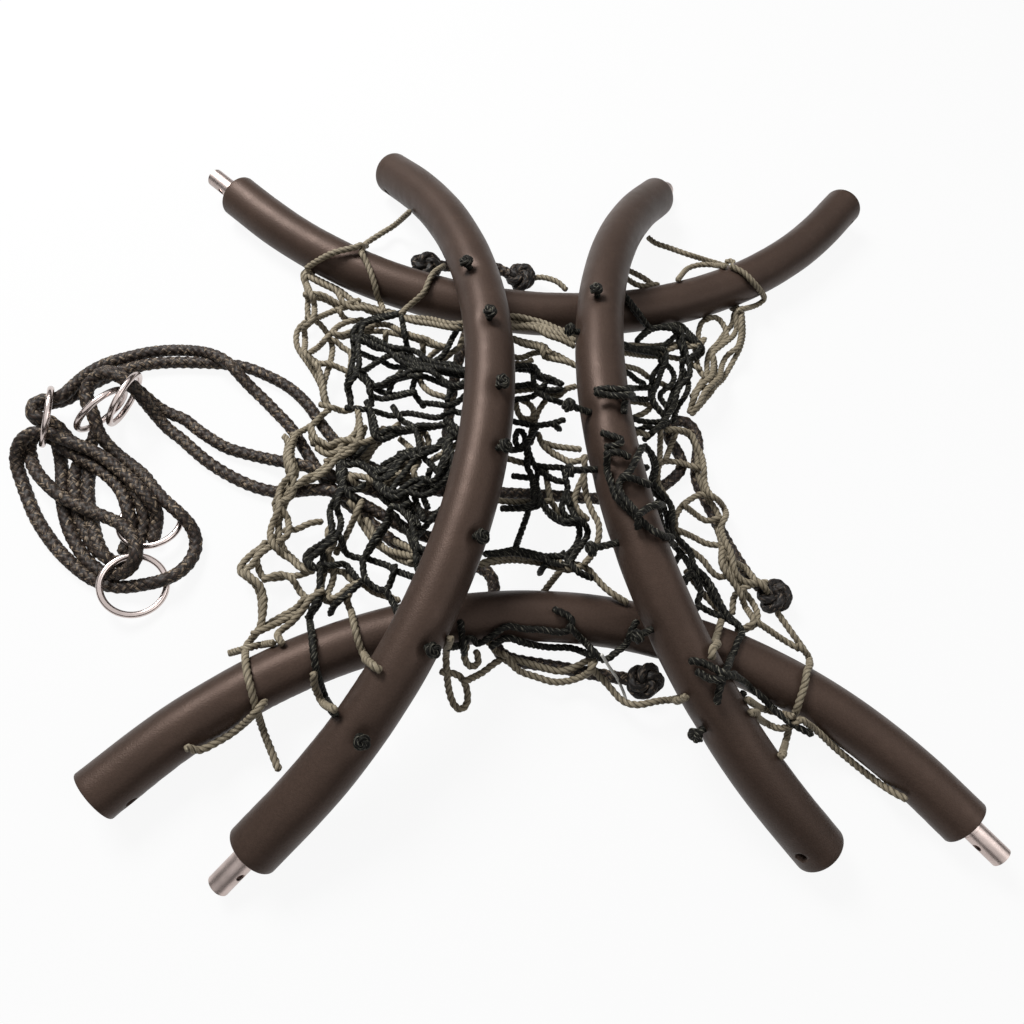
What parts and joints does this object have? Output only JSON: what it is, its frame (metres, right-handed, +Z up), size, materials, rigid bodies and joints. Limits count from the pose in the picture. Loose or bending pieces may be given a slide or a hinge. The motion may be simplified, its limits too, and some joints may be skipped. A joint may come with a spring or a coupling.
{
  "type": "round net swing kit",
  "caption": "Round net swing taken apart: foam-covered quarter tubes with plug-in ends, a laced cord net, hanging ropes with knots and steel rings.",
  "frame": {"origin": "on the floor, under the middle of the rectangle that the laid-out kit covers", "axes": "+Z up; +X to the right and +Y to the back as the kit is laid out in the picture, along the two flat tubes' ends"},
  "size_m": [0.8555, 0.7493, 0.1347],
  "materials": {
    "bright_steel": "bright zinc plate",
    "dark_foam": "soft closed-cell foam, slight sheen",
    "olive_cord": "laid three-strand cord",
    "black_cord": "laid three-strand cord, glossy fibre",
    "dark_rope": "braided rope with light flecks",
    "white_plastic": "thin white strap"
  },
  "bodies": {
    "root": {"steel_tube_a": "bright_steel", "steel_tube_b": "bright_steel", "steel_tube_c": "bright_steel", "steel_tube_d": "bright_steel", "foam_sleeve_a": "dark_foam", "foam_sleeve_b": "dark_foam", "foam_sleeve_c": "dark_foam", "foam_sleeve_d": "dark_foam", "spigot_a": "bright_steel", "spigot_b": "bright_steel", "spigot_c": "bright_steel", "spigot_d": "bright_steel", "lacing_b": "black_cord", "lacing_c": "black_cord", "rope_1": "dark_rope", "rope_2": "dark_rope", "rope_3": "dark_rope", "rope_4": "dark_rope", "rope_knot_1": "dark_rope", "rope_knot_2": "dark_rope", "rope_knot_3": "dark_rope", "rope_knot_4": "dark_rope", "white_tie": "white_plastic", "net_left_upper": "olive_cord", "net_left_lower": "olive_cord", "net_middle": "olive_cord", "net_right_upper": "olive_cord", "net_right_lower": "olive_cord", "net_front": "olive_cord", "net_black_left_upper": "black_cord", "net_black_left_lower": "black_cord", "net_black_middle": "black_cord", "net_black_right_upper": "black_cord", "net_black_right_lower": "black_cord", "net_black_front": "black_cord"},
    "ring_1": {"ring_1": "bright_steel"},
    "ring_2": {"ring_2": "bright_steel"},
    "ring_3": {"ring_3": "bright_steel"},
    "ring_4": {"ring_4": "bright_steel"},
    "ring_5": {"ring_5": "bright_steel"}
  },
  "joints": [
    {"name": "ring_1_tilt", "type": "hinge", "parent": "root", "child": "ring_1", "pos_m": [-0.4171, -0.0026, 0.0059], "axis": [-0.318, 0.835, -0.449], "range_deg": [-40, 0]},
    {"name": "ring_2_swing", "type": "hinge", "parent": "root", "child": "ring_2", "pos_m": [-0.3484, 0.0404, 0.0273], "axis": [0.237, -0.189, 0.953], "range_deg": [-20, 0]},
    {"name": "ring_3_tilt", "type": "hinge", "parent": "root", "child": "ring_3", "pos_m": [-0.3544, 0.0356, 0.003], "axis": [-0.3189, -0.9478, 0], "range_deg": [-40, 0]},
    {"name": "ring_4_lift", "type": "hinge", "parent": "root", "child": "ring_4", "pos_m": [-0.2882, -0.1249, 0.0069], "axis": [-0.4761, 0.8512, 0.221], "range_deg": [0, 18]},
    {"name": "ring_5_turn", "type": "hinge", "parent": "root", "child": "ring_5", "pos_m": [-0.308, -0.079, 0.0088], "axis": [0, 0.226, 0.9741], "continuous": true}
  ]
}
